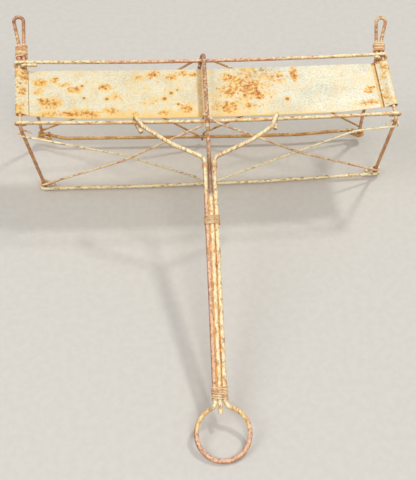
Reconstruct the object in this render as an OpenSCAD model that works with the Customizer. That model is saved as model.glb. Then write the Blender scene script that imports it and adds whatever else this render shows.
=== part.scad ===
// Wire bread warmer with a tinplate shelf, standing upside down as the photograph shows it:
// the shelf is uppermost, the two fences hang below it and the handle slopes down to the table.
// Every wire is drawn in the frame of the upright box: X to the right, Y away from the handle and
// Z up from the near bottom rail. The whole is then tilted to rest on its near feet and its ring.

/* [Rack] */
// Length of the top rails, from the middle of one end bar to the other
rack_l = 379; // [340:1:420]
// From the near top rail to the far one, at the end bars
rack_w = 81.8; // [78:0.1:90]
// From the near bottom rail up to the end bars
rack_h = 109; // [95:1:125]
// How far the top rails bow toward the handle in the middle
top_bow = 4.2; // [2:0.1:6]
// How far the left end bar splays out by the far rail
left_splay = 7; // [0:0.5:8]
// How far the right end bar leans in by the far rail
right_lean = 1.2; // [0:0.1:3]
// How far each near post stands out past the near top rail
near_post_out = 3.4; // [3:0.1:5]
// How far each far post stands out past the far top rail
far_post_out = 1.5; // [1.5:0.1:3]
// How far the posts reach below the bottom rails' middle
foot_drop = 5; // [4.8:0.1:6.5]
// How much lower the right near foot reaches, so that both near feet stand on the table
right_foot_extra = 0.6; // [0:0.1:1]

/* [Feet] */
// Left near foot, how far in from the top of its post and how far from the handle
near_left_foot = [7.5, 7.3];
// Right near foot, the same
near_right_foot = [-1.5, 14.5];
// Left far foot, the same
far_left_foot = [3.3, -9.5];
// Right far foot, the same
far_right_foot = [2.5, -17];

/* [Wire] */
// Diameter of the rails and the end frames
rail_d = 3.7; // [3.4:0.1:4]
// Diameter of the handle's three wires
handle_d = 4.2; // [3.8:0.1:4.6]
// Diameter of the braces
brace_d = 2.3; // [1.8:0.1:2.5]
// Clearance between two wires that grip each other
fit = 0.2; // [0.15:0.01:0.3]
// Clearance in an eye round a post
eye_fit = 0.4; // [0.35:0.01:0.6]

/* [Handle] */
// Slope of the handle against the shelf
handle_slope = 15.55; // [13:0.05:18]
// Middle of the handle, to the right of the rack's middle
handle_x = -2.8; // [-4:0.1:4]
// From the near top rail to the middle of the ring
ring_at = 305.4; // [250:0.1:340]
// Radius of the ring, at the wire's middle
ring_r = 24; // [20:0.1:30]
// How far the ring stands to the right of the handle
ring_shift = 1.5; // [0:0.1:2]
// Bend where a leg meets the ring
ring_shoulder = 7; // [4:0.1:8]
// Gap between the handle's wires
handle_gap = 0.5; // [0.4:0.1:0.8]
// From the near top rail to the crotch, where the arms part
crotch_at = 42; // [36:1:50]
// Where the left arm grips the near top rail, left of the rack's middle
left_arm_x = 74; // [60:1:85]
// Where the right arm grips it, right of the middle
right_arm_x = 66.5; // [60:1:85]
// Length of the tails that come back under the rail
arm_tail = 8.5; // [7:0.5:18]
// From the near top rail to the free end of the centre wire
centre_wire_end = 288; // [286:1:300]

/* [Hanging loops] */
// Gap between the two strands of a loop where they are bound
strand_gap = 1.5; // [1.2:0.1:2]
// How far a loop widens at its tip, on each side
loop_spread = 3; // [2:0.1:4]
// How far a loop rises from the end bar
loop_rise = 20; // [14:1:26]
// Left loop, from the far top rail to where it turns up
left_loop_at = 30; // [29:1:34]
// Left loop, from where it turns up to its tip, seen from above
left_loop_run = 19; // [15:1:26]
// Left loop, how far its tip leans out
left_tip_out = 1.1; // [0:0.1:3]
// Right loop, from the far top rail to where it turns up
right_loop_at = 22; // [21:1:28]
// Right loop, from where it turns up to its tip, seen from above
right_loop_run = 15; // [13:1:22]
// Right loop, how far it stands out of line with its end bar where it turns up
right_loop_out = 2.9; // [0:0.1:3.5]
// Right loop, how much farther its tip leans out
right_tip_out = 1.3; // [0:0.1:3]

/* [Shelf] */
// Thickness of the tinplate
tin_t = 0.5; // [0.3:0.05:0.6]
// Near edge of the tin from the near top rail, at the ends
tin_near = 10.6; // [9.5:0.1:12]
// Far edge of the tin from the far top rail, at the ends
tin_far_in = 6; // [5.8:0.1:10]
// Near end of a hem from the near top rail
hem_near = 13.5; // [12:0.1:20]
// Far end of a hem from the far top rail
hem_far_in = 7.3; // [7.2:0.1:14]
// From the middle of an end bar to the outside of its hem
hem_out = 4.6; // [4.2:0.1:5.2]
// Width of the flap that lies back on the tin
flap_w = 13; // [11:0.5:16]
// Clearance between a hem and its bar
hem_fit = 0.35; // [0.3:0.05:0.4]

/* [Bindings] */
// Wire of the ring's and the fork's bindings
binding_d = 1.0; // [0.8:0.05:1.1]
// Wire of the loops' bindings
loop_binding_d = 1.9; // [1.5:0.1:2]
// Wire of the lashing at the crotch
lashing_d = 0.8; // [0.6:0.05:0.9]
// Turns at the ring
ring_turns = 8; // [4:1:10]
// Turns at the fork
fork_turns = 6; // [3:1:8]
// Turns of the lashing round each leg
lashing_turns = 4; // [2:1:4]
// Turns on the left loop
left_loop_turns = 7; // [3:1:7]
// Turns on the right loop
right_loop_turns = 5; // [3:1:5]
// Gap between the turns of a binding
turn_gap = 0.45; // [0.42:0.01:0.6]
// From the near top rail to the ring's binding
ring_binding_at = 264.5; // [262:0.5:266]
// From the near top rail to the fork's binding
fork_binding_at = 102; // [90:1:110]
// From the near top rail to the lashing
lashing_at = 47.5; // [47:0.5:56]

/* [Hidden] */
$fn = 24;

LEFT = -1;
RIGHT = 1;
NEAR = -1;
FAR = 1;
X = [1, 0, 0];
Y = [0, 1, 0];
Z = [0, 0, 1];

rail_r = rail_d / 2;
handle_r = handle_d / 2;
brace_r = brace_d / 2;
// Bends of the end frames, of the rails' slow curves and of the braces' kinks
corner_bend = 5;
lift_bend = 8;
slow_bend = 900;
kink_bend = 20;
// A hair's gap is left between each bend and the straight beside it, bridged by a thin sleeve
joint_gap = 0.1;
sleeve_l = 0.5;
swell = 0.04;
// Radii at which one wire goes round another
rail_grip = rail_d + fit;
rail_eye = rail_d + eye_fit;
handle_grip = rail_r + handle_r + fit;
brace_grip = rail_r + brace_r + fit;
brace_eye = rail_r + brace_r + eye_fit;
top_z = rack_h + rail_grip;
handle_z = top_z + handle_grip;
handle_pitch = handle_d + handle_gap;
strand_pitch = rail_d + strand_gap;

// Small helpers on points and lists
function unit(v) = v / norm(v);
function mix(a, b, t) = a + (b - a) * t;
function turn(a, b) = acos(max(-1, min(1, a * b)));
function backward(v) = [for (i = [len(v) - 1 : -1 : 0]) v[i]];

// Where the rack's own lines run
function top_y(side, x) = (side == NEAR ? 0 : rack_w) - top_bow * (1 - pow(2 * x / rack_l, 2));
function bar_x(end, y) = end * rack_l / 2 + (end == LEFT ? -left_splay : -right_lean) * y / rack_w;
function post_top(side, end) = side == NEAR
    ? [bar_x(end, -near_post_out), -near_post_out, rack_h]
    : [bar_x(end, rack_w + far_post_out) - end * strand_pitch, rack_w + far_post_out, rack_h];
function foot_in(side, end) = side == NEAR
    ? (end == LEFT ? near_left_foot : near_right_foot)
    : (end == LEFT ? far_left_foot : far_right_foot);
function foot(side, end) = let (a = post_top(side, end), f = foot_in(side, end))
    [a.x - end * f.x, a.y + f.y, 0];
function post_at(side, end, z) = mix(foot(side, end), post_top(side, end), z / rack_h);
function post_axis(side, end) = unit(post_top(side, end) - foot(side, end));
function toe(side, end) = let (
    a = post_axis(side, end),
    drop = foot_drop + (side == NEAR && end == RIGHT ? right_foot_extra : 0)
) foot(side, end) - a * drop / a.z;
// Where a bottom rail bends between its feet: how far along, as a share of half the rack, how far
// away from its top rail, and the bend's radius. It passes the middle between its first two knees
near_knees = [[-0.396, -1.3, 500], [0.317, 0.9, 400]];
far_knees = [[-0.86, -12, 40], [0.211, -15.6, 300], [0.58, -15.2, 150], [0.887, -10.8, 40]];
function knees(side) = [for (k = side == NEAR ? near_knees : far_knees)
    [k.x * rack_l / 2, (side == NEAR ? 0 : rack_w) + k.y, k.z]];
function bottom_mid_y(side) = let (a = knees(side)[0], b = knees(side)[1])
    mix(a.y, b.y, (handle_x - a.x) / (b.x - a.x));
// The plane of a fence at a height, half way along
function fence_y(side, z) = mix(bottom_mid_y(side), top_y(side, rack_l / 4), z / top_z);

// A point of the handle: to the right, down the slope from the near top rail, and above its plane
function on_handle(x, s, up = 0) = [
    x,
    top_y(NEAR, 0) - s * cos(handle_slope) - up * sin(handle_slope),
    handle_z - s * sin(handle_slope) + up * cos(handle_slope)
];

// A wire is a list of stations, each a point and the radius of the bend there
function stop(p) = [p, 0];
function bend(p, r) = [p, r];

// The end of a wire that goes round a post at c: it comes by on one side, heading outward,
// turns round square to the post, and its tail lies back beside it
function square_to(v, axis) = unit(v - axis * (v * axis));
function eye(c, axis, outward, side, r, d, tail) = let (
    u = square_to(outward, axis),
    n = square_to(square_to(side, u), axis)
) [
    bend(c + (u + n) * r, r - 0.45),
    bend(c + (u - n) * r, r - 0.45),
    bend(c - n * r - u * 2, 5),
    stop(c + n * (r - d - fit) - u * tail)
];

module rod(a, b, r) {
    u = unit(b - a);
    x = abs(u.z) < 0.9 ? unit(cross(Z, u)) : unit(cross(X, u));
    y = cross(u, x);
    multmatrix([[x.x, y.x, u.x, a.x], [x.y, y.y, u.y, a.y], [x.z, y.z, u.z, a.z], [0, 0, 0, 1]])
        cylinder(r = r, h = norm(b - a));
}

module sleeve(p, u, r)
    rod(p - u * sleeve_l / 2, p + u * sleeve_l / 2, r + swell);

module elbow(p, u, v, bend, r) {
    angle = turn(u, v);
    t = bend * tan(angle / 2);
    c = p + unit(v - u) * bend / cos(angle / 2);
    x = unit(p - u * t - c);
    z = cross(x, u);
    multmatrix([[x.x, u.x, z.x, c.x], [x.y, u.y, z.y, c.y], [x.z, u.z, z.z, c.z], [0, 0, 0, 1]])
        rotate_extrude(angle = angle, $fn = max(24, ceil(360 * 6 / angle)))
            translate([bend, 0])
                circle(r = r, $fn = 24);
    sleeve(p - u * (t + joint_gap / 2), u, r);
    sleeve(p + v * (t + joint_gap / 2), v, r);
}

module wire(stations, r) {
    last = len(stations) - 1;
    p = [for (s = stations) s[0]];
    u = [for (i = [0 : last - 1]) unit(p[i + 1] - p[i])];
    t = [for (i = [0 : last])
        i == 0 || i == last ? 0 : stations[i][1] * tan(turn(u[i - 1], u[i]) / 2) + joint_gap];
    for (i = [0 : last - 1])
        rod(p[i] + u[i] * t[i], p[i + 1] - u[i] * t[i + 1], r);
    for (i = [1 : last - 1])
        elbow(p[i], u[i - 1], u[i], stations[i][1], r);
}

// A wire wound round a row of wires that reaches a each way from the middle, along Z
WINDING_STEPS = 16;
WINDING_SIDES = 6;
function wound_point(k, a, r, pitch) = let (t = 360 * (k + 0.5) / WINDING_STEPS)
    [(cos(t) > 0 ? a : -a) + r * cos(t), r * sin(t), pitch * t / 360];
function wound_normal(k) = let (t = 360 * (k + 0.5) / WINDING_STEPS) [cos(t), sin(t), 0];
function least_gap(p, d) = min([for (i = [0 : len(p) - 1])
    for (j = [i + WINDING_STEPS / 2 : 1 : len(p) - 1]) norm(p[i] - p[j])]) - d;

module winding(name, turns, a, r, d) {
    pitch = d + turn_gap;
    n = turns * WINDING_STEPS;
    course = [for (k = [0 : n]) wound_point(k, a, r, pitch)];
    head = unit(course[1] - course[0]);
    tail = unit(course[n] - course[n - 1]);
    path = concat([course[0] - head * d], course, [course[n] + tail * d]);
    out = concat([wound_normal(0)], [for (k = [0 : n]) wound_normal(k)], [wound_normal(n)]);
    m = len(path);
    along = [for (i = [0 : m - 1]) unit(path[min(i + 1, m - 1)] - path[max(i - 1, 0)])];
    points = [for (i = [0 : m - 1])
        let (side = unit(cross(along[i], out[i])), up = cross(side, along[i]))
        for (j = [0 : WINDING_SIDES - 1])
            let (q = 360 * j / WINDING_SIDES)
            path[i] + d / 2 * (cos(q) * up + sin(q) * side)];
    walls = [for (i = [0 : m - 2])
        for (j = [0 : WINDING_SIDES - 1])
            let (
                near = i * WINDING_SIDES + j,
                next = i * WINDING_SIDES + (j + 1) % WINDING_SIDES,
                far = near + WINDING_SIDES,
                far_next = next + WINDING_SIDES
            )
            each [[near, next, far_next], [near, far_next, far]]];
    base = (m - 1) * WINDING_SIDES;
    caps = [for (j = [1 : WINDING_SIDES - 2])
        each [[0, j + 1, j], [base, base + j, base + j + 1]]];
    echo(str(name, " least gap ", least_gap(course, d), " mm"));
    polyhedron(points = points, faces = [for (f = concat(walls, caps)) backward(f)], convexity = 10);
}

// The tilt that sets the near left foot and the near end of the ring on one level
ring_end = on_handle(handle_x, ring_at + ring_r);
rest_toe = toe(NEAR, LEFT);
rest_run = rest_toe.y - ring_end.y;
rest_drop = rest_toe.z - ring_end.z;
function rest_tilt(edge) =
    asin((edge - handle_r) / norm([rest_run, rest_drop])) - atan2(rest_drop, rest_run);
// A leaning toe stands on the edge of its cut end, lower than the wire's middle
function rise(v, a) = v.y * sin(a) + v.z * cos(a);
toe_edge = rail_r * sqrt(1 - pow(rise(post_axis(NEAR, LEFT), rest_tilt(0)), 2));
tilt = rest_tilt(toe_edge);
rest_z = toe_edge - rise(rest_toe, tilt);
// The middle of the whole, from its outermost points
loop_bend = strand_pitch / 2 + loop_spread - 0.9;
loop_flare = atan2(loop_spread + left_tip_out, norm([left_loop_run, loop_rise]));
left_most = bar_x(LEFT, rack_w + left_loop_at) - loop_spread - left_tip_out - rail_r
    + loop_bend * tan(45 + loop_flare / 2) * sin(loop_flare);
right_most = foot(NEAR, RIGHT).x + rail_eye + rail_r;
loop_tip = [rack_w + left_loop_at + left_loop_run, rack_h + loop_rise];
far_most = loop_tip[0] * cos(tilt) - loop_tip[1] * sin(tilt) + rail_r;
near_most = ring_end.y * cos(tilt) - ring_end.z * sin(tilt) - handle_r;

module stand() {
    translate([-(left_most + right_most) / 2, -(near_most + far_most) / 2, rest_z])
        rotate([tilt, 0, 0])
            children();
}

// End frames: one wire each, up the near post, along the end bar, out into the hanging loop,
// back beside itself and down the far post
loop_knee_at = 4.5;
function loop_at(end) = end == LEFT ? left_loop_at : right_loop_at;
function loop_out(end) = end == LEFT ? 0 : right_loop_out;
function loop_knee(end) = let (y = rack_w + loop_knee_at) [bar_x(end, y), y, rack_h];
function loop_foot(end) = let (y = rack_w + loop_at(end))
    [bar_x(end, y) + end * loop_out(end), y, rack_h];
function end_frame(end, loop_run, tip_out) = let (
    outer = loop_foot(end),
    inner = outer - X * end * strand_pitch,
    tip = Y * loop_run + Z * loop_rise + X * end * tip_out,
    spread = X * end * loop_spread
) [
    stop(toe(NEAR, end)),
    bend(post_top(NEAR, end), corner_bend),
    if (loop_out(end) > 0) bend(loop_knee(end), 30),
    bend(outer, lift_bend),
    bend(outer + tip + spread, loop_bend),
    bend(inner + tip - spread, loop_bend),
    bend(inner, lift_bend),
    bend(post_top(FAR, end), corner_bend - 0.5),
    stop(toe(FAR, end))
];

module left_end_frame()
    color("tan") stand() wire(end_frame(LEFT, left_loop_run, left_tip_out), rail_r);

module right_end_frame()
    color("tan") stand() wire(end_frame(RIGHT, right_loop_run, right_tip_out), rail_r);

// Top rails: bowed, and hooked round the end bars
function bowed(side) = [for (k = [-2 : 2])
    let (x = k * rack_l / 6) bend([x, top_y(side, x), top_z], slow_bend)];

// A point beside an end bar, a rail's grip away to the outside and above
function by_bar(end, y, out, up) =
    [bar_x(end, y) + end * out * rail_grip, y, rack_h + up * rail_grip];

near_hook_in = 4;
function near_hook(end) = [
    bend(by_bar(end, 0, 1, 1), rail_grip - 0.45),
    bend(by_bar(end, near_hook_in, 1, -1), rail_grip - 0.45),
    stop(by_bar(end, near_hook_in + 0.6, -1.4, -1))
];

// The far hooks go right round the bar, each quarter a little nearer than the last
far_hook_steps = [0, -1.2, -2.9, -4.2];
left_tail = [15, -0.8, 0];
right_tail = [-5.5, -0.6, 0];
function far_hook(end, tail) = [
    bend(by_bar(end, rack_w + far_hook_steps[0], 1, 1), rail_grip - 0.45),
    bend(by_bar(end, rack_w + far_hook_steps[1], 1, -1), rail_grip - 0.45),
    bend(by_bar(end, rack_w + far_hook_steps[2], -1, -1), rail_grip - 0.45),
    bend(by_bar(end, rack_w + far_hook_steps[3], -1, 1), rail_grip - 0.6),
    stop(by_bar(end, rack_w + far_hook_steps[3], -1, 1) + tail)
];

module near_top_rail()
    color("wheat") stand()
        wire(concat(backward(near_hook(LEFT)), bowed(NEAR), near_hook(RIGHT)), rail_r);

module far_top_rail()
    color("wheat") stand()
        wire(concat(backward(far_hook(LEFT, left_tail)), bowed(FAR), far_hook(RIGHT, right_tail)),
            rail_r);

// Bottom rails: an eye round the foot of each post, with its tail laid back along the rail
foot_tail = 11;
function foot_eye(side, end) = let (
    k = knees(side)[end == LEFT ? 0 : len(knees(side)) - 1],
    c = foot(side, end),
    outward = c + Y * side * rail_eye - [k.x, k.y, 0]
) eye(c, post_axis(side, end), outward, Y * side, rail_eye, rail_d, foot_tail);
function bottom_rail(side) = concat(
    backward(foot_eye(side, LEFT)),
    [for (k = knees(side)) bend([k.x, k.y, 0], k.z)],
    foot_eye(side, RIGHT)
);

module near_bottom_rail()
    color("tan") stand() wire(bottom_rail(NEAR), rail_r);

module far_bottom_rail()
    color("tan") stand() wire(bottom_rail(FAR), rail_r);

// V braces: an eye high on each post, and a turn round the middle of the bottom rail, down
// behind it and up in front
near_v_eye_down = [8.5, 9.5];
far_v_eye_down = [13, 13];
function v_eye_z(side, end) = rack_h - (side == NEAR ? near_v_eye_down : far_v_eye_down)[end == LEFT ? 0 : 1];
eye_tail = 9;
// Where the arms of the V bend: how far along and how high, as shares, and the bend's radius
v_left_knee = [-0.48, 0.565, 30];
v_right_knees = [[0.528, 0.575, 100], [0.792, 0.845, 40]];
v_out = 2;
turn_step = 1.5;
function turn_under(c, side) = let (out = Y * side * brace_grip, up = Z * brace_grip) [
    bend(c - out + up - X * turn_step, brace_grip - 0.45),
    bend(c - out - up - X * turn_step / 3, brace_grip - 0.45),
    bend(c + out - up + X * turn_step / 3, brace_grip - 0.45),
    bend(c + out + up + X * turn_step, brace_grip - 0.45)
];
function post_eye(side, end, z, from) = let (c = post_at(side, end, z))
    eye(c, post_axis(side, end), c + Y * side * brace_eye - from, Y * side, brace_eye, brace_d,
        eye_tail);
function knee_at(side, k, out) = let (z = k.y * rack_h)
    [k.x * rack_l / 2, fence_y(side, z) + side * out, z];
function v_brace(side) = concat(
    backward(post_eye(side, LEFT, v_eye_z(side, LEFT), knee_at(side, v_left_knee, v_out))),
    [bend(knee_at(side, v_left_knee, v_out), v_left_knee.z)],
    turn_under([handle_x, bottom_mid_y(side), 0], side),
    [for (k = v_right_knees) bend(knee_at(side, k, v_out), k.z)],
    post_eye(side, RIGHT, v_eye_z(side, RIGHT), knee_at(side, v_right_knees[1], v_out))
);

module near_v_brace()
    color("burlywood") stand() wire(v_brace(NEAR), brace_r);

module far_v_brace()
    color("peru") stand() wire(v_brace(FAR), brace_r);

// Peak braces: an eye round the foot of each post. The near one is tied round its rail and over the
// centre wire. The far one passes under its rail, inside the centre wire's hook
peak_eye_z = 5;
peak_left_knee = [-0.475, 0.505];
peak_right_knee = [0.512, 0.55];
peak_out = 4.7;
tie_gap = handle_r + brace_r + fit;
// Where the near tie leaves for its right knee: past the centre wire, and over the rail
tie_leaves = [3.4, 2.5];
near_tie = let (
    c = [handle_x, top_y(NEAR, 0), top_z],
    out = -Y * brace_grip,
    under = -Z * brace_grip,
    over = Z * (handle_grip + tie_gap),
    wide = X * (tie_gap + 0.3)
) [
    bend(c + out - wide * 1.5 + under, brace_grip - 0.45),
    bend(c - out - wide * 1.15 + under, brace_grip - 0.45),
    bend(c - out - wide + over, brace_grip - 0.7),
    bend(c + out + wide + over, brace_grip - 0.7),
    bend(c + out + X * (tie_gap + tie_leaves.x) + Z * tie_leaves.y, 4)
];
// The far pass: how far it reaches to each side of the centre wire, and how far round the rail
far_pass_reach = [-9, 8];
far_pass_angle = 35;
far_pass = [for (reach = far_pass_reach)
    let (x = handle_x + reach)
    bend([
        x,
        top_y(FAR, x) + brace_grip * cos(far_pass_angle),
        top_z - brace_grip * sin(far_pass_angle)
    ], 6)];
function peak_brace(side) = concat(
    backward(post_eye(side, LEFT, peak_eye_z, knee_at(side, peak_left_knee, peak_out))),
    [bend(knee_at(side, peak_left_knee, peak_out), kink_bend)],
    side == NEAR ? near_tie : far_pass,
    [bend(knee_at(side, peak_right_knee, peak_out), kink_bend)],
    post_eye(side, RIGHT, peak_eye_z, knee_at(side, peak_right_knee, peak_out))
);

module near_peak_brace()
    color("burlywood") stand() wire(peak_brace(NEAR), brace_r);

module far_peak_brace()
    color("peru") stand() wire(peak_brace(FAR), brace_r);

// Handle loop: one wire from a hook on the near top rail, down an arm and a leg, round the ring
// and back up to the other hook
function leg_x(end) = handle_x + end * handle_pitch;
ring_x = handle_x + ring_shift;
function ring_turn_in(end) =
    asin((end * (leg_x(end) - ring_x) + ring_shoulder) / (ring_r + ring_shoulder));
function shoulder(end) = let (a = ring_turn_in(end), off = end * (leg_x(end) - ring_x))
    bend(on_handle(leg_x(end), ring_at - (ring_r - off * sin(a)) / cos(a)), ring_shoulder);
ring_corners = 4;
ring_sweep = 360 - ring_turn_in(LEFT) - ring_turn_in(RIGHT);
function ring_corner(i) = let (
    a = -ring_turn_in(LEFT) - ring_sweep * (i + 0.5) / ring_corners,
    out = ring_r / cos(ring_sweep / ring_corners / 2)
) bend(on_handle(ring_x + out * sin(a), ring_at - out * cos(a)), ring_r - 0.6);

// Points of the arms, down the slope from the rail
left_elbow = [-40, 26];
left_wrist = [-67.5, 7];
right_elbow = [40, 24.5];
right_wrist = [61.5, 10.5];
// How far in towards the middle the tails come back
left_tail_in = 5;
right_tail_in = 1.5;
// An arm bends a little high, to clear the rail that it goes over
arm_lift = 0.8;
function arm_hook(end, x, tail_in) = let (
    c = [end * x, top_y(NEAR, x), top_z],
    back = Y * handle_grip,
    up = Z * handle_grip,
    aside = X * end
) [
    bend(c + up + back + aside + Z * arm_lift, handle_grip - 0.5),
    bend(c - up + back + aside, handle_grip - 0.5),
    stop(c - up - Y * arm_tail - Z * 1.5 - aside * tail_in)
];
function arm(end, elbow, wrist, x, tail_in) = concat(
    [
        bend(on_handle(leg_x(end), crotch_at), 8),
        bend(on_handle(elbow.x, elbow.y), 40),
        bend(on_handle(wrist.x, wrist.y, arm_lift), 9)
    ],
    arm_hook(end, x, tail_in)
);

module handle_loop()
    color("rosybrown") stand()
        wire(concat(
            backward(arm(LEFT, left_elbow, left_wrist, left_arm_x, left_tail_in)),
            [shoulder(LEFT)],
            [for (i = [0 : ring_corners - 1]) ring_corner(i)],
            [shoulder(RIGHT)],
            arm(RIGHT, right_elbow, right_wrist, right_arm_x, right_tail_in)
        ), handle_r);

// Centre wire: from inside the ring, up between the legs, under the lashings, a little high over
// the near rail and on to a roomy hook round the far one and the brace behind it
centre_lift = 0.3;
centre_dip = 3.3;
dip_from = 78;
dip_at = 51;
hook_reach = 2.4;
hook_depth = 1.45;
hook_bend = 4.6;
hook_end = [-4.6, -4.6];
function centre_wire_course() = let (
    c = [handle_x, top_y(FAR, 0), top_z],
    back = Y * (handle_grip + hook_reach),
    under = -Z * (handle_grip + hook_depth)
) [
    stop(on_handle(handle_x, centre_wire_end)),
    bend(on_handle(handle_x, dip_from), 200),
    bend(on_handle(handle_x, dip_at, -centre_dip), 60),
    bend(on_handle(handle_x, 0, centre_lift), 20),
    bend(c + Z * handle_grip + back, hook_bend),
    bend(c + under + back - X * 3, hook_bend),
    stop(c + under + X * hook_end.x + Y * hook_end.y)
];

module centre_wire()
    color("tan") stand() wire(centre_wire_course(), handle_r);

// Bindings
module on_slope(s)
    translate(on_handle(handle_x, s))
        rotate([handle_slope, 0, 0])
            rotate([90, 0, 0])
                children();

module handle_binding(name, s, turns, d)
    stand() on_slope(s) winding(name, turns, handle_pitch, handle_r + d / 2 + fit, d);

module ring_binding()
    color("rosybrown") handle_binding("ring_binding", ring_binding_at, ring_turns, binding_d);

module fork_binding()
    color("rosybrown") handle_binding("fork_binding", fork_binding_at, fork_turns, binding_d);

module leg_lashing(name, end)
    stand() on_slope(lashing_at)
        translate([end * handle_pitch, 0, 0])
            winding(name, lashing_turns, 0, handle_r + lashing_d / 2 + fit, lashing_d);

module crotch_lashing()
    color("rosybrown") {
        leg_lashing("crotch_lashing left", LEFT);
        leg_lashing("crotch_lashing right", RIGHT);
    }

module loop_binding(name, end, turns) {
    d = loop_binding_d;
    along = unit(loop_foot(end) - loop_knee(end));
    start = loop_foot(end) - along * (lift_bend / 2 + 0.5);
    stand()
        translate(start - X * end * strand_pitch / 2)
            rotate([90, 0, -atan2(along.x, along.y)])
                winding(name, turns, strand_pitch / 2, rail_r + d / 2 + fit, d);
}

module left_loop_binding()
    color("rosybrown") loop_binding("left_loop_binding", LEFT, left_loop_turns);

module right_loop_binding()
    color("rosybrown") loop_binding("right_loop_binding", RIGHT, right_loop_turns);

// Shelf: a bowed sheet with a hem rolled round each end bar and its flap pressed back on the tin
tin_far = rack_w - tin_far_in;
hem_far = rack_w - hem_far_in;
hem_in = rail_r + hem_fit;
hem_r = hem_in + tin_t;
hem_steps = 10;
// The hems start a hair higher than the sheet that they grow from
hem_step = 0.03;
hem_mid = hem_out - hem_r;
// Where the hem's outside starts down to the tin, and where its flap reaches it
hem_level = 0.8;
hem_down = 7.4;
flap_end = flap_w - hem_out;
function hem_arc(r) = [for (i = [0 : hem_steps])
    let (a = -90 + 180 * i / hem_steps) [hem_mid + r * cos(a), r * sin(a)]];

module hem_outline()
    difference() {
        polygon(concat([[-flap_end, -hem_r]], hem_arc(hem_r), [
            [-hem_level, hem_r], [-hem_down, tin_t - hem_in], [-flap_end, tin_t - hem_in]
        ]));
        polygon(concat(hem_arc(hem_in), [[-hem_level + 0.2, hem_in], [-hem_down - 0.4, -hem_in]]));
    }

module hem(end) {
    splay = atan2(bar_x(end, rack_w) - bar_x(end, 0), rack_w);
    mid = (hem_near + hem_far) / 2;
    translate([bar_x(end, mid), mid, rack_h + hem_step])
        rotate([90, 0, -splay])
            mirror([end == LEFT ? 1 : 0, 0, 0])
                translate([0, 0, -(hem_far - hem_near) / 2])
                    linear_extrude(height = hem_far - hem_near)
                        hem_outline();
}

sheet_steps = 8;
corner_cut = 3.5;
function sheet_y(x, y) = y - top_bow * (1 - pow(2 * x / rack_l, 2));
function sheet_end(end, y) = bar_x(end, y) - end * (hem_down - 1);
function sheet_edge(y) = [for (i = [1 : sheet_steps - 1])
    let (x = mix(sheet_end(LEFT, y), sheet_end(RIGHT, y), i / sheet_steps)) [x, sheet_y(x, y)]];

module sheet_outline()
    polygon(concat(
        [[sheet_end(LEFT, hem_near), tin_near + corner_cut]],
        sheet_edge(tin_near),
        [[sheet_end(RIGHT, hem_near), tin_near + corner_cut]],
        [[sheet_end(RIGHT, hem_far), hem_far - 0.5]],
        backward(sheet_edge(tin_far)),
        [[sheet_end(LEFT, hem_far), hem_far - 0.5]]
    ));

module tin_shelf()
    color("lightgray") stand() {
        translate([0, 0, rack_h - hem_r]) linear_extrude(height = tin_t) sheet_outline();
        hem(LEFT);
        hem(RIGHT);
    }

tin_shelf();
left_end_frame();
right_end_frame();
near_top_rail();
far_top_rail();
near_bottom_rail();
far_bottom_rail();
near_v_brace();
near_peak_brace();
far_v_brace();
far_peak_brace();
handle_loop();
centre_wire();
ring_binding();
fork_binding();
crotch_lashing();
left_loop_binding();
right_loop_binding();
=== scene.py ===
# Wire bread warmer with a tinplate shelf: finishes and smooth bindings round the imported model
import math

import bpy
from mathutils import Matrix, Vector


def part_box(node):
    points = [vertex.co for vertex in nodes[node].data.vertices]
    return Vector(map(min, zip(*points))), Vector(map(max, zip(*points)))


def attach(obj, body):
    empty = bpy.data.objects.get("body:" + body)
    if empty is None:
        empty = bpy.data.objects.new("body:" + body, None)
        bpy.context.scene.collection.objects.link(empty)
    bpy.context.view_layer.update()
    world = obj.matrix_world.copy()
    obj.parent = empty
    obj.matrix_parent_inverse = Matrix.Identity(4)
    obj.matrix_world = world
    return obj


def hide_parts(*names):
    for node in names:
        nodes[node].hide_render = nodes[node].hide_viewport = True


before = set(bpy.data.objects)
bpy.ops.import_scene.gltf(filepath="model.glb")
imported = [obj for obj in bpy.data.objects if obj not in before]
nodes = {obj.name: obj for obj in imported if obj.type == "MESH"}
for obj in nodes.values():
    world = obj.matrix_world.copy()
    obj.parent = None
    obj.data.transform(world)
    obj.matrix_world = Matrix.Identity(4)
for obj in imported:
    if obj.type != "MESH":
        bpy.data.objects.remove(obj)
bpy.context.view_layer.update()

# Where the photograph was taken from, in metres and degrees
CAMERA_AT = Vector((-0.03489, -0.48857, 0.68298))
CAMERA_DOWN = 52.90
CAMERA_TO_RIGHT = 3.87
CAMERA_ROLL = 1.27
FRAME_WIDTH = 416
FOCAL_LENGTH_IN_PIXELS = 800
SENSOR_WIDTH = 36
NEAREST_SEEN = 0.01

# Floor and lamps: place, size, watts and colour. The main light comes from behind on the right,
# so the shadows fall to the left and nearer
FLOOR_SIZE = 12
LIT_PLACE = Vector((0, 0.05, 0.05))
LAMPS = {
    "key_light": ((1.35, 1.40, 2.74), 0.35, 32, (1, 0.98, 0.94)),
    "left_fill": ((-1.6, -0.4, 1.8), 1.6, 17, (1, 0.99, 0.97)),
    "near_fill": ((0.5, -1.5, 2.1), 1.2, 19, (1, 0.99, 0.97)),
}
STUDIO_COLOUR = (1, 0.985, 0.955, 1)
STUDIO_STRENGTH = 0.40

# The handle's three wires lie side by side round this middle, at this pitch, down to the ring
HANDLE_X = 0.0008
HANDLE_PITCH = 0.0047
HANDLE_TOP = Vector((HANDLE_X, 0.08713, 0.12096))
HANDLE_FOOT = Vector((HANDLE_X, -0.22063, 0.00188))
RING_FROM_Y = -0.172

# Rust in the handle's grooves: the stretch of the handle that it fills, as shares of its length,
# the strip's radius, and its lumps
GROOVE_FROM = 0.25
GROOVE_TO = 0.83
GROOVE_FILL = 0.0009
GROOVE_SLICES = 90
LUMP_SIZE = 0.003
LUMP_HEIGHT = 0.0005

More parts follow.
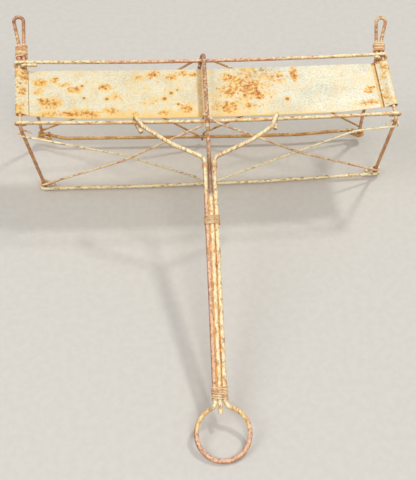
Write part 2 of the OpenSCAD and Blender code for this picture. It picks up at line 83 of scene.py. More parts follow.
# Thickness of each binding's wire, and how the CAD's turns are made smooth
BINDING_THICKNESS = {
    "ring_binding": 0.0010,
    "fork_binding": 0.0010,
    "crotch_lashing": 0.0008,
    "left_loop_binding": 0.0019,
    "right_loop_binding": 0.0019,
}
MERGE_WITHIN = 0.00001
ROUNDING_LEVELS = 2

# Wear is drawn out along the wires, which run across the rack or down the handle
ALONG_RACK = (0.5, 1, 1)
ALONG_HANDLE = (1, 0.4, 0.4)

# The tin's rolled ends: their widths, where the ends of their flaps run, and the dirt and painted shade
# beside those
LEFT_HEM_WIDTH = 0.014
RIGHT_HEM_WIDTH = 0.013
HEM_EDGE_BLUR = 0.0005
FLAP_FAR_Y = 0.167
FLAP_NEAR_Y = 0.106
LEFT_FLAP_FAR_X = -0.1839
LEFT_FLAP_NEAR_X = -0.1787
RIGHT_FLAP_FAR_X = 0.1836
RIGHT_FLAP_NEAR_X = 0.1845
LEFT_LINE_WIDTH = 0.0009
RIGHT_LINE_WIDTH = 0.0018
RIGHT_STAIN_WIDTH = 0.0046

# The golden strip across the tin beside the centre wire, a stain with a painted shadow tint where the
# wire's shadow falls: where it fades in and where it fades out
WIRE_STRIP_IN = (-0.0085, -0.0065)
WIRE_STRIP_OUT = (0.0005, -0.001)
# A dark smudge at the far edge, in millimetres: middle across and along, half width, half depth
SMUDGE_PLACE = (54, 160, 30, 12)

# Rust on the tin, in millimetres: middle across and along, half width, half depth, and its density
RUST_PATCHES = {
    "left_near_cluster": (-158, 121, 19, 12, 0.72),
    "left_near_spot": (-168, 125, 7, 6, 0.75),
    "left_far_cluster": (-170, 149, 14, 8, 0.62),
    "left_far_trail": (-172, 138, 10, 7, 0.5),
    "streak_start": (-156, 153, 10, 7, 0.55),
    "streak_middle": (-145, 147, 12, 6, 0.55),
    "streak_end": (-134, 140, 13, 7, 0.68),
    "left_near_edge": (-148, 107, 38, 8, 0.68),
    "near_edge_specks": (-126, 107, 26, 9, 0.72),
    "left_middle": (-103, 142, 9, 9, 0.65),
    "left_middle_faint": (-93, 130, 10, 9, 0.35),
    "near_edge_middle": (-95, 110, 16, 8, 0.55),
    "near_edge_arm": (-71, 105, 9, 5, 0.7),
    "faint_middle": (-57, 123, 15, 12, 0.42),
    "near_edge_right": (-42, 106, 14, 5, 0.6),
    "near_edge_by_wire": (-19, 110, 12, 9, 0.75),
    "far_edge_left": (-69, 154, 9, 8, 0.6),
    "far_edge_middle": (-52, 157, 14, 9, 0.8),
    "far_edge_right": (-35, 153, 10, 8, 0.75),
    "far_edge_end": (-22, 158, 9, 7, 0.65),
    "far_edge_by_wire": (-11, 156, 9, 6, 0.5),
    "cloud_start": (26, 151, 15, 12, 0.68),
    "cloud_side": (24, 132, 16, 18, 0.74),
    "cloud_near": (22, 112, 26, 12, 0.72),
    "cloud_middle": (46, 136, 38, 36, 0.56),
    "cloud_core": (47, 140, 12, 19, 0.72),
    "cloud_foot": (56, 124, 13, 10, 0.72),
    "cloud_near_spot": (47, 113, 14, 9, 0.7),
    "cloud_end": (76, 149, 20, 12, 0.66),
    "golden_bar": (95, 152, 7, 16, 0.7),
    "right_hem_far": (172, 130, 9, 9, 0.78),
    "right_hem_spots": (189, 124, 6, 15, 0.55),
    "left_hem_blot": (-189, 113, 7, 9, 0.6),
    "right_hem_near": (166, 113, 18, 7, 0.75),
}
# How densely the hems are rusted, and the right one's share of that
HEM_RUST = 0.36
RIGHT_HEM_SHARE = 0.75
# Single brown spots, in millimetres: across, along, and radius
LONE_SPOTS = (
    (-126.5, 144, 1.7), (-124, 127.5, 1.6), (-105, 142.5, 2.2), (-102, 139.5, 1.6),
    (-100.5, 125.5, 2), (-41.5, 124, 2.3), (-34.5, 131.5, 2.1), (-27.5, 116.5, 1.7),
    (-28, 135.5, 1.2), (85, 120, 2.4), (22, 115, 1.5), (31, 112, 1.3),
)


def tint(red, green, blue):
    """A colour as a screen shows it, from 0 to 255, in the linear values that a shader takes"""
    def linear(level):
        level /= 255
        return level / 12.92 if level <= 0.04045 else ((level + 0.055) / 1.055) ** 2.4
    return (linear(red), linear(green), linear(blue), 1)


# Colours of the tin
IVORY = tint(243, 233, 201)
PALE_IVORY = tint(238, 236, 217)
CREAM = tint(249, 244, 216)
GREY_TIN = tint(210, 205, 182)
WARM_STAIN_AND_HIGHLIGHT = tint(252, 212, 126)
WIRE_SHADOW_AND_STAIN = tint(236, 194, 124)
SMUDGE = tint(158, 138, 108)
RUST_WASH = tint(218, 172, 118)
ORANGE_RUST = tint(226, 156, 78)
BROWN_RUST = tint(176, 108, 54)
FLAP_SHADE_AND_DIRT = tint(150, 104, 46)
GOLDEN_LINE = tint(232, 190, 116)
# Colours of the wires
CREAM_PLATING = tint(250, 214, 140)
PALE_PLATING = tint(255, 246, 206)
PINK_WEAR = tint(204, 144, 120)
PINK_HIGHLIGHT = tint(250, 204, 176)
ORANGE_WEAR = tint(244, 186, 104)
GOLDEN_WEAR = tint(214, 162, 92)
DARK_WEAR_AND_SHADE = tint(132, 84, 48)
UNDERSIDE_RUST_AND_SHADE = tint(168, 104, 58)
BINDING_WIRE = tint(255, 218, 162)
BINDING_HIGHLIGHT = tint(255, 240, 204)
BINDING_SHADE = tint(216, 160, 112)
# Colours of the rust in the grooves, and of the floor
GOLDEN_CRUST = tint(240, 196, 130)
GOLDEN_CRUST_SHADE = tint(204, 150, 92)
ORANGE_CRUST = tint(222, 138, 54)
ORANGE_CRUST_SHADE = tint(164, 96, 40)
PALE_FLOOR = tint(214, 211, 205)
PALE_GRAIN = tint(218, 215, 209)


# Camera
def camera_axes():
    """The camera's right, up and forward directions, from its three angles"""
    down, aside, roll = (math.radians(a) for a in (CAMERA_DOWN, CAMERA_TO_RIGHT, CAMERA_ROLL))
    forward = Vector((
        math.sin(aside) * math.cos(down),
        math.cos(aside) * math.cos(down),
        -math.sin(down),
    ))
    level = Vector((math.cos(aside), -math.sin(aside), 0))
    upright = level.cross(forward)
    right = level * math.cos(roll) + upright * math.sin(roll)
    return right, right.cross(forward), forward


def add_camera():
    right, up, forward = camera_axes()
    data = bpy.data.cameras.new("camera")
    data.sensor_fit = "HORIZONTAL"
    data.sensor_width = SENSOR_WIDTH
    data.lens = FOCAL_LENGTH_IN_PIXELS / FRAME_WIDTH * SENSOR_WIDTH
    data.clip_start = NEAREST_SEEN
    camera = bpy.data.objects.new("camera", data)
    bpy.context.scene.collection.objects.link(camera)
    turn = Matrix((right, up, -forward)).transposed().to_4x4()
    camera.matrix_world = Matrix.Translation(CAMERA_AT) @ turn
    bpy.context.scene.camera = camera


# Floor and light
def add_floor():
    bpy.ops.object.select_all(action="DESELECT")
    bpy.ops.mesh.primitive_plane_add(size=FLOOR_SIZE)
    floor = bpy.context.object
    floor.name = "floor"
    paint = Paint("pale_floor")
    grain = paint.band(paint.noise(140, 5), 0.35, 0.65)
    paint.colour(paint.blend(grain, PALE_FLOOR, PALE_GRAIN))
    paint.shader.inputs["Roughness"].default_value = 0.85
    floor.data.materials.append(paint.material)


def turned_to(direction):
    """A turn that points an upright piece or a lamp's back along a direction"""
    return direction.to_track_quat("Z", "Y").to_matrix().to_4x4()


def add_lamp(name, place, size, watts, colour):
    data = bpy.data.lights.new(name, "AREA")
    data.shape = "DISK"
    data.size = size
    data.energy = watts
    data.color = colour
    lamp = bpy.data.objects.new(name, data)
    bpy.context.scene.collection.objects.link(lamp)
    lamp.matrix_world = Matrix.Translation(place) @ turned_to(Vector(place) - LIT_PLACE)


def add_light():
    for name, (place, size, watts, colour) in LAMPS.items():
        add_lamp(name, place, size, watts, colour)
    world = bpy.data.worlds.new("studio")
    world.use_nodes = True
    background = world.node_tree.nodes["Background"]
    background.inputs["Color"].default_value = STUDIO_COLOUR
    background.inputs["Strength"].default_value = STUDIO_STRENGTH
    bpy.context.scene.world = world


# Paint: a material under construction, where each method adds a node and returns its output
class Paint:
    def __init__(self, name):
        self.material = bpy.data.materials.new(name)
        self.material.use_nodes = True
        self.tree = self.material.node_tree
        self.shader = self.tree.nodes["Principled BSDF"]
        self.place = self.add("ShaderNodeTexCoord").outputs["Object"]

    def add(self, kind, **settings):
        node = self.tree.nodes.new(kind)
        for name, value in settings.items():
            setattr(node, name, value)
        return node

    def put(self, socket, value):
        """Links another node's output to a socket, or sets a plain value on it"""
        if isinstance(value, bpy.types.NodeSocket):
            self.tree.links.new(value, socket)
        else:
            socket.default_value = value

    def vectors(self, kind, a, b):
        node = self.add("ShaderNodeVectorMath", operation=kind)
        self.put(node.inputs[0], a)
        self.put(node.inputs[1], b)
        return node.outputs[0]

    def numbers(self, kind, a, b, clamp=False):
        node = self.add("ShaderNodeMath", operation=kind, use_clamp=clamp)
        self.put(node.inputs[0], a)
        self.put(node.inputs[1], b)
        return node.outputs[0]

    def times(self, a, b):
        return self.numbers("MULTIPLY", a, b)

    def total(self, a, b):
        return self.numbers("ADD", a, b)

    def plus(self, a, b):
        """The total of two shares, never past 1"""
        return self.numbers("ADD", a, b, clamp=True)

    def less(self, a, b):
        return self.numbers("SUBTRACT", a, b)

    def larger(self, a, b):
        return self.numbers("MAXIMUM", a, b)

    def scaled(self, value, factor, shift):
        """A value times a factor, with a shift added"""
        node = self.add("ShaderNodeMath", operation="MULTIPLY_ADD")
        self.put(node.inputs[0], value)
        self.put(node.inputs[1], factor)
        self.put(node.inputs[2], shift)
        return node.outputs[0]

    def band(self, value, low, high):
        """0 at low, 1 at high and smooth between; low may be the larger"""
        node = self.add("ShaderNodeMapRange", interpolation_type="SMOOTHSTEP")
        self.put(node.inputs["Value"], value)
        node.inputs["From Min"].default_value = min(low, high)
        node.inputs["From Max"].default_value = max(low, high)
        node.inputs["To Min"].default_value = 0 if low < high else 1
        node.inputs["To Max"].default_value = 1 if low < high else 0
        return node.outputs["Result"]

    def noise(self, scale, detail=4, roughness=0.55, offset=(0, 0, 0), stretch=(1, 1, 1)):
        """Cloudy noise; a stretch below 1 draws it out along that axis"""
        node = self.add("ShaderNodeTexNoise")
        moved = self.vectors("ADD", self.place, offset)
        self.put(node.inputs["Vector"], self.vectors("MULTIPLY", moved, stretch))
        node.inputs["Scale"].default_value = scale
        node.inputs["Detail"].default_value = detail
        node.inputs["Roughness"].default_value = roughness
        return node.outputs["Fac"]

    def axis(self, name):
        node = self.add("ShaderNodeSeparateXYZ")
        self.put(node.inputs[0], self.place)
        return node.outputs[name]

    def facing(self, name):
        """How far the surface faces along X, Y or Z, from -1 to 1"""
        node = self.add("ShaderNodeSeparateXYZ")
        self.put(node.inputs[0], self.add("ShaderNodeNewGeometry").outputs["Normal"])
        return node.outputs[name]

    def away(self, *millimetres):
        """How far a point is from the middle of an upright oval column, whose rim is at 1"""
        x, y, half_width, half_depth = (value / 1000 for value in millimetres)
        offset = self.vectors("SUBTRACT", self.place, (x, y, 0))
        shares = self.vectors("MULTIPLY", offset, (1 / half_width, 1 / half_depth, 0))
        length = self.add("ShaderNodeVectorMath", operation="LENGTH")
        self.put(length.inputs[0], shares)
        return length.outputs["Value"]

    def blend(self, share, a, b):
        node = self.add("ShaderNodeMix", data_type="RGBA")
        self.put(node.inputs["Factor"], share)
        self.put(node.inputs[6], a)
        self.put(node.inputs[7], b)
        return node.outputs[2]

    def colour(self, value):
        self.put(self.shader.inputs["Base Color"], value)

    def bump(self, height, strength, distance):
        node = self.add("ShaderNodeBump")
        node.inputs["Strength"].default_value = strength
        node.inputs["Distance"].default_value = distance
        self.put(node.inputs["Height"], height)
        self.put(self.shader.inputs["Normal"], node.outputs["Normal"])


# The tin's finish
def bare_tin(paint, mottle, to_right):
    """Dull ivory, paler at the right, with a grey haze, a cream glow and a fine mottle"""
    colour = paint.blend(paint.band(paint.axis("X"), -0.02, 0.12), IVORY, PALE_IVORY)
    haze = paint.band(paint.noise(34, 4, 0.6), 0.46, 0.62)
    colour = paint.blend(paint.times(haze, 0.5), colour, GREY_TIN)
    glow = paint.band(paint.noise(48, 4, 0.6, offset=(9, 2, 0)), 0.48, 0.62)
    colour = paint.blend(paint.times(glow, 0.6), colour, CREAM)
    greyed = paint.times(paint.band(mottle, 0.48, 0.64), paint.scaled(to_right, 0.25, 0.5))
    colour = paint.blend(greyed, colour, GREY_TIN)
    return paint.blend(paint.times(paint.band(mottle, 0.50, 0.36), 0.8), colour, CREAM)


def near_edge_stain(paint, colour, to_left):
    """A warm stain along the near edge, strongest at the left, and a broken golden painted highlight
    along the rim itself
    """
    low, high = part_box("tin_shelf")
    broken = paint.times(paint.noise(90, 4, 0.6, offset=(1, 3, 0)), 0.030)
    near_edge = paint.band(paint.total(paint.axis("Y"), broken), low.y + 0.032, low.y + 0.014)
    stain = paint.band(paint.noise(55, 4, offset=(3.1, 0, 0)), 0.46, 0.64)
    warm = paint.plus(paint.times(near_edge, paint.plus(to_left, 0.25)), paint.times(stain, 0.3))
    colour = paint.blend(paint.times(warm, 0.85), colour, WARM_STAIN_AND_HIGHLIGHT)
    # Painted highlight: a broken golden line along the near rim, standing for its lit edge
    painted_edge_highlight = paint.total(paint.axis("Y"), paint.times(broken, 0.25))
    painted_edge_highlight = paint.band(painted_edge_highlight, low.y + 0.0085, low.y + 0.0055)
    painted_edge_highlight = paint.times(painted_edge_highlight, paint.band(paint.noise(190, 4, 0.6, offset=(6, 3, 0)), 0.38, 0.54))
    return paint.blend(paint.times(painted_edge_highlight, 0.8), colour, WARM_STAIN_AND_HIGHLIGHT)


def strip_and_smudge(paint, colour):
    """The golden strip beside the centre wire, a stain with a painted shadow tint, and the dark smudge at
    the far edge
    """
    # Painted shadow tint and stain, in a golden strip where the centre wire's shadow falls on the tin
    fades_in = paint.band(paint.axis("X"), *WIRE_STRIP_IN)
    strip = paint.times(fades_in, paint.band(paint.axis("X"), *WIRE_STRIP_OUT))
    patchy = paint.band(paint.noise(260, 4, 0.7, offset=(8, 5, 0)), 0.40, 0.56)
    strip = paint.times(strip, paint.plus(paint.times(patchy, 0.7), 0.2))
    colour = paint.blend(strip, colour, WIRE_SHADOW_AND_STAIN)
    smudge = paint.band(paint.away(*SMUDGE_PLACE), 1.2, 0.2)
    gaps = paint.band(paint.noise(360, 4, 0.7, offset=(2, 2, 0)), 0.44, 0.60)
    return paint.blend(paint.times(paint.times(smudge, gaps), 0.85), colour, SMUDGE)


def rust_density(paint, ragged):
    """How densely the tin is rusted in its named patches, and there and on its hems"""
    low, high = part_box("tin_shelf")
    patches = 0.0
    for x, y, half_width, half_depth, share in RUST_PATCHES.values():
        away = paint.away(x, y, half_width, half_depth)
        patch = paint.band(paint.total(away, ragged), 1.3, 0.3)
        patches = paint.larger(patches, paint.times(patch, share))
    left_edge = low.x + LEFT_HEM_WIDTH
    right_edge = high.x - RIGHT_HEM_WIDTH
    left_hem = paint.band(paint.axis("X"), left_edge + HEM_EDGE_BLUR, left_edge - HEM_EDGE_BLUR)
    right_hem = paint.band(paint.axis("X"), right_edge - HEM_EDGE_BLUR, right_edge + HEM_EDGE_BLUR)
    hems = paint.plus(left_hem, paint.times(right_hem, RIGHT_HEM_SHARE))
    return patches, paint.larger(patches, paint.times(hems, HEM_RUST))


def rust_grain(paint, coarse, fine, density, to_right):
    """Where the grain of the rust rises into a halo, orange and brown; bare tin at the right has least"""
    bare = paint.band(density, 0.2, 0)
    clean = paint.times(bare, paint.scaled(to_right, 0.05, 0.04))
    pricks = paint.times(paint.noise(430, 4, 0.6, offset=(4, 4, 0)), 0.3)
    blots = paint.total(paint.times(coarse, 0.7), paint.times(fine, 0.9))
    blots = paint.total(paint.less(blots, 0.15), pricks)
    blots = paint.less(paint.total(blots, paint.times(density, 0.34)), clean)
    specks = paint.total(paint.times(coarse, 0.3), paint.times(fine, 1.3))
    specks = paint.less(paint.total(specks, paint.times(density, 0.36)), clean)
    peaks = paint.larger(blots, specks)
    return paint.band(blots, 0.82, 0.96), paint.band(peaks, 0.96, 1.05), paint.band(peaks, 1.08, 1.15)


def lone_spots(paint, ragged, halo, brown):
    """Adds the single brown spots and the halo round each"""
    for x, y, radius in LONE_SPOTS:
        away = paint.total(paint.away(x, y, radius, radius), paint.less(ragged, 0.3))
        brown = paint.plus(brown, paint.band(away, 1.1, 0.6))
        halo = paint.plus(halo, paint.band(away, 2.4, 1))
    return halo, brown


def rusted_tin(paint, colour, mottle, coarse, fine, to_left, to_right):
    """Lays the rust on the tin, and returns the colour, and where it is orange and brown"""
    ragged = paint.times(paint.noise(120, 3, 0.6, offset=(2, 8, 0)), 0.6)
    patches, density = rust_density(paint, ragged)
    halo, orange, brown = rust_grain(paint, coarse, fine, density, to_right)
    tinge = paint.times(paint.band(patches, 0.0, 0.4), paint.band(coarse, 0.34, 0.50))
    tinge = paint.times(tinge, paint.plus(paint.times(to_left, 0.4), 0.25))
    colour = paint.blend(tinge, colour, WARM_STAIN_AND_HIGHLIGHT)
    muddy = paint.times(paint.band(patches, 0.2, 0.6), paint.band(mottle, 0.44, 0.56))
    colour = paint.blend(paint.times(muddy, 0.45), colour, RUST_WASH)
    core = paint.total(paint.away(*RUST_PATCHES["cloud_core"][:4]), ragged)
    wash = paint.times(paint.band(core, 1.5, 0.6), paint.band(fine, 0.40, 0.56))
    halo, brown = lone_spots(paint, ragged, halo, brown)
    colour = paint.blend(paint.times(halo, 0.8), colour, WARM_STAIN_AND_HIGHLIGHT)
    colour = paint.blend(paint.times(wash, 0.7), colour, RUST_WASH)
    colour = paint.blend(paint.times(orange, 0.8), colour, ORANGE_RUST)
    return paint.blend(paint.times(brown, 0.85), colour, BROWN_RUST), orange, brown


def beside_flap(paint, x_far, x_near, width):
    """A line on the sheet along the end of a flap; a width below 0 lies to the left of it"""
    slant = (x_near - x_far) / (FLAP_NEAR_Y - FLAP_FAR_Y)
    edge = paint.scaled(paint.axis("Y"), slant, x_far - slant * FLAP_FAR_Y)
    past = paint.less(paint.axis("X"), edge)
    into = math.copysign(1, width)
    return paint.times(paint.band(past, 0, into * 0.0002), paint.band(past, width, width - into * 0.0004))


def flap_lines(paint, colour, fine):
    """Dirt and painted shade along the end of each flap; the right one also has a golden stain beside it
    """
    left_line = beside_flap(paint, LEFT_FLAP_FAR_X, LEFT_FLAP_NEAR_X, LEFT_LINE_WIDTH)
    right_line = beside_flap(paint, RIGHT_FLAP_FAR_X, RIGHT_FLAP_NEAR_X, -RIGHT_LINE_WIDTH)
    right_stain = beside_flap(paint, RIGHT_FLAP_FAR_X, RIGHT_FLAP_NEAR_X, -RIGHT_STAIN_WIDTH)
    gaps = paint.scaled(paint.band(fine, 0.36, 0.50), 0.5, 0.5)
    # Painted shade of each flap's step, with dirt, as a dark line on the sheet
    colour = paint.blend(paint.times(left_line, 0.8), colour, FLAP_SHADE_AND_DIRT)
    colour = paint.blend(paint.times(right_stain, gaps), colour, GOLDEN_LINE)
    return paint.blend(paint.times(right_line, gaps), colour, FLAP_SHADE_AND_DIRT)


def tinplate():
    """Dull ivory tin, warm along its near edge, with rust in haloed specks"""
    paint = Paint("speckled_tinplate")
    mottle = paint.noise(560, 4, 0.6)
    coarse = paint.noise(95, 3, 0.5, offset=(0.5, 0.5, 0))
    fine = paint.noise(300, 5, 0.65, offset=(7, 0.5, 0))
    to_left = paint.band(paint.axis("X"), 0.12, -0.14)
    to_right = paint.band(paint.axis("X"), 0.04, 0.10)
    colour = bare_tin(paint, mottle, to_right)
    colour = near_edge_stain(paint, colour, to_left)
    colour = strip_and_smudge(paint, colour)
    # Painted light: the left-facing slopes of the hems are painted brighter, towards cream
    highlit = paint.band(paint.facing("X"), -0.1, -0.35)
    colour = paint.blend(paint.times(highlit, 0.8), colour, CREAM)
    colour, orange, brown = rusted_tin(paint, colour, mottle, coarse, fine, to_left, to_right)
    paint.colour(flap_lines(paint, colour, fine))
    paint.put(paint.shader.inputs["Roughness"], paint.plus(0.5, paint.times(orange, 0.35)))
    paint.shader.inputs["Metallic"].default_value = 0.1
    waves = paint.times(paint.noise(24, 2), 1.6)
    height = paint.total(waves, paint.times(mottle, 0.1))
    height = paint.less(height, paint.times(paint.plus(orange, brown), 0.1))
    paint.bump(height, 0.5, 0.0012)
    return paint.material


# The wires' finishes. Each wear function gives how far a wire is worn to pink and to orange, and
# where it is dark; on the handle and the centre wire that dark share is partly painted shade
def even_wear(pink, orange):
    return lambda paint: (pink, orange, 0.0)


def far_rail_wear(paint):
    """The far top rail is cream at its ends and pink-brown between"""
    from_left = paint.band(paint.axis("X"), -0.17, -0.03)
    pink = paint.times(from_left, paint.band(paint.axis("X"), 0.17, 0.04))
    return paint.plus(paint.times(pink, 0.45), 0.25), 0.2, 0.0


def handle_wear(paint):
    """The left leg and the ring are pink-brown, the other leg and the ring's shoulders cream, and the
    left leg's outward side has painted shade
    """
    y = paint.axis("Y")
    left_leg = paint.band(
        paint.axis("X"), HANDLE_X - HANDLE_PITCH * 0.45, HANDLE_X - HANDLE_PITCH * 0.55
    )
    below_fork = paint.band(y, 0.02, 0)
    above_ring = paint.band(y, RING_FROM_Y - 0.002, RING_FROM_Y + 0.006)
    leg = paint.times(paint.times(left_leg, below_fork), above_ring)
    round_ring = paint.band(y, RING_FROM_Y - 0.014, RING_FROM_Y - 0.032)
    pink = paint.plus(paint.times(leg, 0.75), paint.times(round_ring, 0.7))
    shoulders = paint.band(y, RING_FROM_Y, RING_FROM_Y - 0.008)
    shoulders = paint.times(shoulders, paint.band(round_ring, 1, 0.2))
    # Painted shade on the outward, left-facing side of the left leg
    painted_shade_left_side = paint.times(left_leg, paint.band(paint.facing("X"), -0.3, -0.85))
    orange = paint.plus(0.3, paint.times(shoulders, 0.2))
    return paint.plus(pink, 0.28), orange, paint.times(painted_shade_left_side, 0.7)


def centre_wear(paint):
    """The centre wire is stained brown from the rails to the crotch, dark there from rust and painted
    shade, and cream below
    """
    y = paint.axis("Y")
    above = paint.band(y, 0.006, 0.02)
    # Between the legs the wire is painted dark: rust, and painted shade where it lies deeper than the
    # legs
    crotch_shade_and_rust = paint.times(above, paint.band(y, 0.058, 0.044))
    dark = paint.times(crotch_shade_and_rust, paint.band(paint.noise(260, 4, 0.6), 0.30, 0.62))
    stain = paint.band(paint.noise(330, 5, 0.7, offset=(3, 1, 0)), 0.40, 0.56)
    stain = paint.times(paint.times(above, stain), 0.85)
    return paint.plus(paint.times(above, 0.4), 0.2), 0.35, paint.plus(dark, stain)


def end_wear(paint):
    """The end frames are pink-brown, and dark at the tips of their hanging loops"""
    low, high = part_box("left_end_frame")
    tip = paint.band(paint.axis("Y"), high.y - 0.016, high.y - 0.004)
    return paint.plus(0.55, paint.times(tip, 0.4)), 0.3, paint.times(tip, 0.5)


def plated_wire(name, seed, wear, golden=0.0, underside_rust_and_shade=0.85, pallor=0.0, along=ALONG_RACK, speck=0.75):
    """Cream plating with a painted highlight on top, worn to pink and orange in patches, freckled with
    dark, and browner underneath from rust and painted shade
    """
    paint = Paint(name)
    shift = (seed, seed * 2, 0)
    grain = paint.noise(400, 5, 0.7, shift)
    # Painted highlight: faces turned up are painted paler, cream towards pale plating
    painted_highlight = paint.band(paint.facing("Z"), 0.3, 0.95)
    pale = paint.total(paint.scaled(painted_highlight, 0.12, pallor), grain)
    colour = paint.blend(paint.band(pale, 0.52, 0.60), CREAM_PLATING, PALE_PLATING)
    pink, orange, dark = wear(paint)
    patches = paint.noise(130, 6, 0.8, shift, along)
    worn = paint.band(paint.total(patches, paint.times(pink, 0.4)), 0.62, 0.78)
    # The worn pink, turned to a paler pink by the painted highlight on top
    highlit = paint.blend(paint.band(pale, 0.54, 0.66), PINK_WEAR, PINK_HIGHLIGHT)
    colour = paint.blend(paint.times(worn, 0.9), colour, highlit)
    blotches = paint.noise(260, 6, 0.8, (seed + 4, 0, seed), along)
    rusty = paint.band(paint.total(blotches, paint.times(orange, 0.4)), 0.64, 0.74)
    colour = paint.blend(paint.times(rusty, 0.8), colour, ORANGE_WEAR)
    gilded = paint.times(paint.band(patches, 0.36, 0.56), golden)
    colour = paint.blend(gilded, colour, GOLDEN_WEAR)
    # Faces turned down are painted browner: rust there, and painted shade
    under = paint.band(paint.facing("Z"), 0.5, -0.45)
    colour = paint.blend(paint.times(under, underside_rust_and_shade), colour, UNDERSIDE_RUST_AND_SHADE)
    spots = paint.noise(400, 4, 0.7, (0, seed + 9, 0), along)
    spots = paint.total(spots, paint.times(worn, -0.01))
    colour = paint.blend(paint.times(paint.band(spots, 0.52, 0.60), 0.5), colour, UNDERSIDE_RUST_AND_SHADE)
    # The freckles also take the wear's dark share, which holds painted shade on the handle wires
    freckles = paint.plus(paint.times(paint.band(spots, 0.585, 0.64), speck), dark)
    paint.colour(paint.blend(paint.times(freckles, 0.75), colour, DARK_WEAR_AND_SHADE))
    rough = paint.times(paint.plus(worn, rusty), 0.3)
    paint.put(paint.shader.inputs["Roughness"], paint.plus(0.42, rough))
    paint.shader.inputs["Metallic"].default_value = 0.15
    pits = paint.times(paint.noise(1500, 3, 0.6, shift), 0.3)
    paint.bump(paint.total(paint.times(grain, 0.7), pits), 0.5, 0.0005)
    return paint.material


def handle_finish(name, seed, wear):
    return plated_wire(name, seed, wear, pallor=0.03, along=ALONG_HANDLE, speck=0.4)


def finish_nodes():
    """Every wire and the tin keep their CAD mesh and take their finish"""
    near_rail = plated_wire("bright_rail_wire", 1, even_wear(0.3, 0.4), pallor=0.03, speck=0.5)
    far_rail = plated_wire("far_rail_wire", 1.7, far_rail_wear, pallor=0.04, speck=0.3)
    pale_brace = plated_wire("pale_brace_wire", 2.3, even_wear(0.25, 0.2), underside_rust_and_shade=0.45, pallor=0.14)
    worn_brace = plated_wire("worn_brace_wire", 4.6, even_wear(0.5, 0.2), underside_rust_and_shade=0.55, pallor=0.06)
    # Painted light: the bottom rail is painted paler and warmer, with less brown below, against the
    # shadow the tin casts on it
    bottom_rail = plated_wire(
        "pale_rail_wire", 9.4, even_wear(0.1, 0.3), golden=0.1, underside_rust_and_shade=0.3, pallor=0.12
    )
    far_fence = plated_wire(
        "golden_fence_wire", 5.1, even_wear(0.4, 0.5), golden=0.9, underside_rust_and_shade=0.75, speck=1
    )
    end_frame = plated_wire("rusted_end_wire", 7.7, end_wear, golden=0.1, underside_rust_and_shade=0.55)
    finishes = {
        "tin_shelf": tinplate(),
        "handle_loop": handle_finish("handle_wire", 3.9, handle_wear),
        "centre_wire": handle_finish("centre_wire_finish", 6.2, centre_wear),
        "near_top_rail": near_rail,
        "far_top_rail": far_rail,
        "near_bottom_rail": bottom_rail,
        "near_v_brace": pale_brace,
        "near_peak_brace": worn_brace,
        "left_end_frame": end_frame,
        "right_end_frame": end_frame,
        "far_bottom_rail": far_fence,
        "far_v_brace": far_fence,
        "far_peak_brace": far_fence,
    }
    for name, material in finishes.items():
        mesh = nodes[name].data
        mesh.materials.clear()
        mesh.materials.append(material)


# Bindings
def binding_finish():
    """Thin binding wire, pinkish beige, with painted shade in bands between its turns and a painted
    highlight on top
    """
    paint = Paint("rusted_binding_wire")
    mottle = paint.noise(240, 5, 0.6)
    colour = paint.blend(paint.band(mottle, 0.42, 0.60), BINDING_WIRE, BINDING_SHADE)
    # Darker bands across the binding stand for the gaps between its turns: painted shade
    turns = paint.noise(420, 2, offset=(1, 2, 0), stretch=(0.12, 1, 0.12))
    turns = paint.band(turns, 0.42, 0.56)
    colour = paint.blend(paint.times(turns, 0.6), colour, BINDING_SHADE)
    # Painted highlight: faces turned up are cream, except in the shaded bands
    painted_highlight = paint.times(paint.band(paint.facing("Z"), 0.4, 0.9), paint.band(turns, 1, 0))
    colour = paint.blend(paint.times(painted_highlight, 0.85), colour, BINDING_HIGHLIGHT)
    freckles = paint.band(paint.noise(700, 3, offset=(4, 2, 0)), 0.60, 0.72)
    paint.colour(paint.blend(paint.times(freckles, 0.6), colour, DARK_WEAR_AND_SHADE))
    paint.shader.inputs["Roughness"].default_value = 0.65
    paint.shader.inputs["Metallic"].default_value = 0.1
    paint.bump(paint.noise(1600, 4, 0.6), 0.5, 0.0003)
    return paint.material


def smooth_binding(node, thickness):
    """The CAD winding's own turns, made a smooth round wire of the given thickness"""
    piece = bpy.data.objects.new("smooth_" + node, nodes[node].data.copy())
    bpy.context.scene.collection.objects.link(piece)
    bpy.ops.object.select_all(action="DESELECT")
    bpy.context.view_layer.objects.active = piece
    piece.select_set(True)
    bpy.ops.object.mode_set(mode="EDIT")
    bpy.ops.mesh.select_all(action="SELECT")
    bpy.ops.mesh.remove_doubles(threshold=MERGE_WITHIN)
    bpy.ops.mesh.tris_convert_to_quads()
    bpy.ops.object.mode_set(mode="OBJECT")
    rounding = piece.modifiers.new("rounding", "SUBSURF")
    rounding.levels = ROUNDING_LEVELS
    rounding.render_levels = ROUNDING_LEVELS
    bpy.ops.object.modifier_apply(modifier=rounding.name)
    # Rounding draws a six-sided wire in by a sixth of its radius
    filling = piece.modifiers.new("filling", "DISPLACE")
    filling.mid_level = 0
    filling.strength = thickness / 2 / 6
    bpy.ops.object.modifier_apply(modifier=filling.name)
    bpy.ops.object.shade_smooth()
    return piece


def add_bindings():
    material = binding_finish()
    for node, thickness in BINDING_THICKNESS.items():
        piece = smooth_binding(node, thickness)
        piece.data.materials.clear()
        piece.data.materials.append(material)
        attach(piece, "frame")
        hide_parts(node)


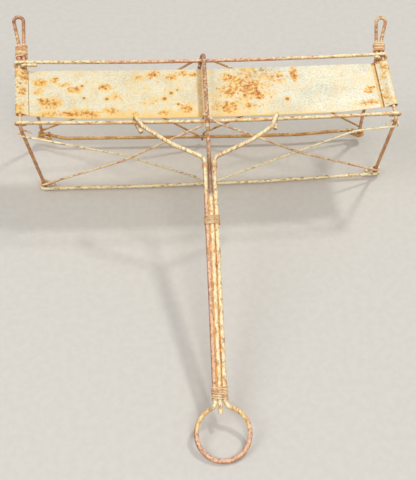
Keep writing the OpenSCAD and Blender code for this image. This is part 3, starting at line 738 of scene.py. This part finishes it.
# Rust in the handle's grooves
def rust_crust(name, rust, shade, seed):
    """A rough crust of rust in two shades, with pale plating showing through in places"""
    paint = Paint(name)
    grain = paint.noise(300, 5, 0.7, offset=(seed, 0, 0))
    colour = paint.blend(paint.band(grain, 0.40, 0.60), rust, shade)
    pale = paint.band(paint.noise(120, 4, 0.6, offset=(0, seed, 0)), 0.52, 0.64)
    paint.colour(paint.blend(paint.times(pale, 0.5), colour, CREAM_PLATING))
    paint.shader.inputs["Roughness"].default_value = 0.9
    paint.bump(grain, 0.6, 0.0004)
    return paint.material


def groove_rust(name, x, material):
    """A lumpy strip of rust that fills the groove between two of the handle's wires"""
    start = HANDLE_TOP.lerp(HANDLE_FOOT, GROOVE_FROM)
    end = HANDLE_TOP.lerp(HANDLE_FOOT, GROOVE_TO)
    length = (end - start).length
    bpy.ops.object.select_all(action="DESELECT")
    bpy.ops.mesh.primitive_cylinder_add(vertices=12, radius=GROOVE_FILL, depth=length)
    piece = bpy.context.object
    piece.name = name
    bpy.ops.object.mode_set(mode="EDIT")
    bpy.ops.mesh.select_all(action="SELECT")
    for level in range(GROOVE_SLICES):
        height = length * ((level + 0.5) / GROOVE_SLICES - 0.5)
        bpy.ops.mesh.bisect(plane_co=(0, 0, height), plane_no=(0, 0, 1))
        bpy.ops.mesh.select_all(action="SELECT")
    bpy.ops.object.mode_set(mode="OBJECT")
    lumps = bpy.data.textures.new(name + "_lumps", "CLOUDS")
    lumps.noise_scale = LUMP_SIZE
    swelling = piece.modifiers.new("swelling", "DISPLACE")
    swelling.texture = lumps
    swelling.strength = LUMP_HEIGHT
    bpy.ops.object.modifier_apply(modifier=swelling.name)
    middle = (start + end) / 2 + Vector((x, 0, 0))
    piece.data.transform(Matrix.Translation(middle) @ turned_to(start - end))
    bpy.ops.object.shade_smooth()
    piece.data.materials.append(material)
    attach(piece, "frame")


def add_groove_rust():
    golden = rust_crust("golden_groove_rust", GOLDEN_CRUST, GOLDEN_CRUST_SHADE, 1.1)
    orange = rust_crust("orange_groove_rust", ORANGE_CRUST, ORANGE_CRUST_SHADE, 4.2)
    groove_rust("left_groove_rust", -HANDLE_PITCH / 2, golden)
    groove_rust("right_groove_rust", HANDLE_PITCH / 2, orange)


add_camera()
add_floor()
add_light()
finish_nodes()
add_bindings()
add_groove_rust()

bpy.context.scene.view_settings.view_transform = "Standard"
